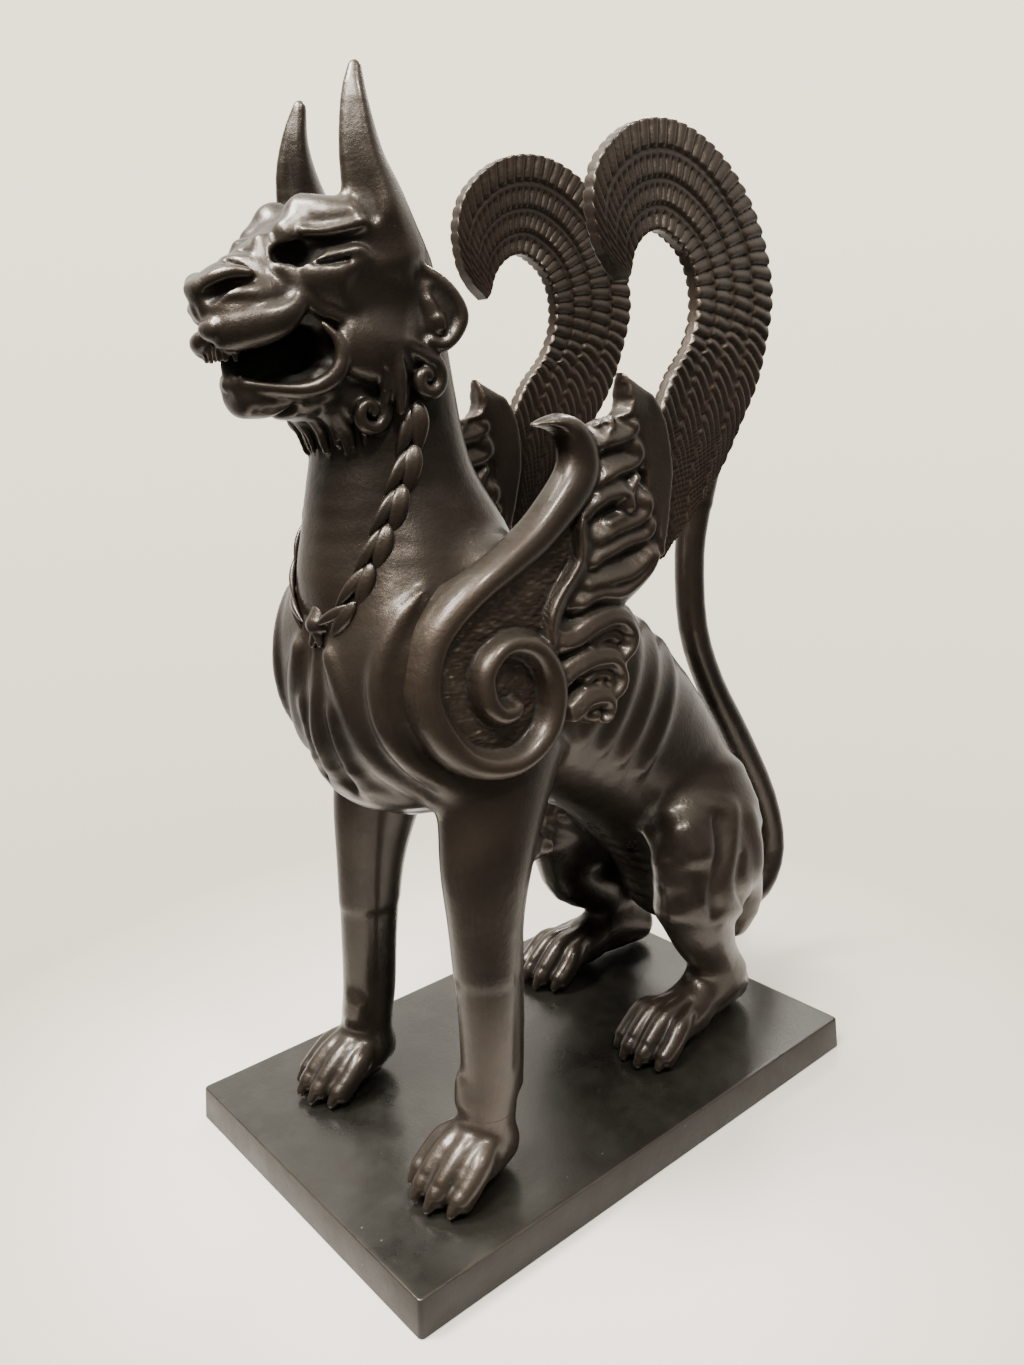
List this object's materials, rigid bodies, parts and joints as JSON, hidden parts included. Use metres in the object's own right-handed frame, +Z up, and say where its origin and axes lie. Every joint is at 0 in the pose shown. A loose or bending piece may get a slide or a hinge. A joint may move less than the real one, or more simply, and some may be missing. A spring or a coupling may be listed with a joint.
{
  "type": "griffin statue",
  "caption": "Seated winged griffin with tall ears, open jaws, scrolled shoulders, hooked feathered wings and a raised tail, cast in dark bronze on a flat rectangular plinth.",
  "frame": {"origin": "middle of the plinth's underside", "axes": "+Z up; -Y the way the griffin faces; +X to the griffin's left as it faces -Y"},
  "size_m": [0.324, 0.6199, 0.8142],
  "materials": {
    "bronze": "dark brown-black patinated bronze, satin, worn warm brown on the toes, muzzle and knees",
    "dark_bronze": "dark patinated bronze, satin, with a faint grey-green sheen on top"
  },
  "bodies": {
    "root": {"griffin": "bronze", "plinth": "dark_bronze"}
  },
  "joints": []
}
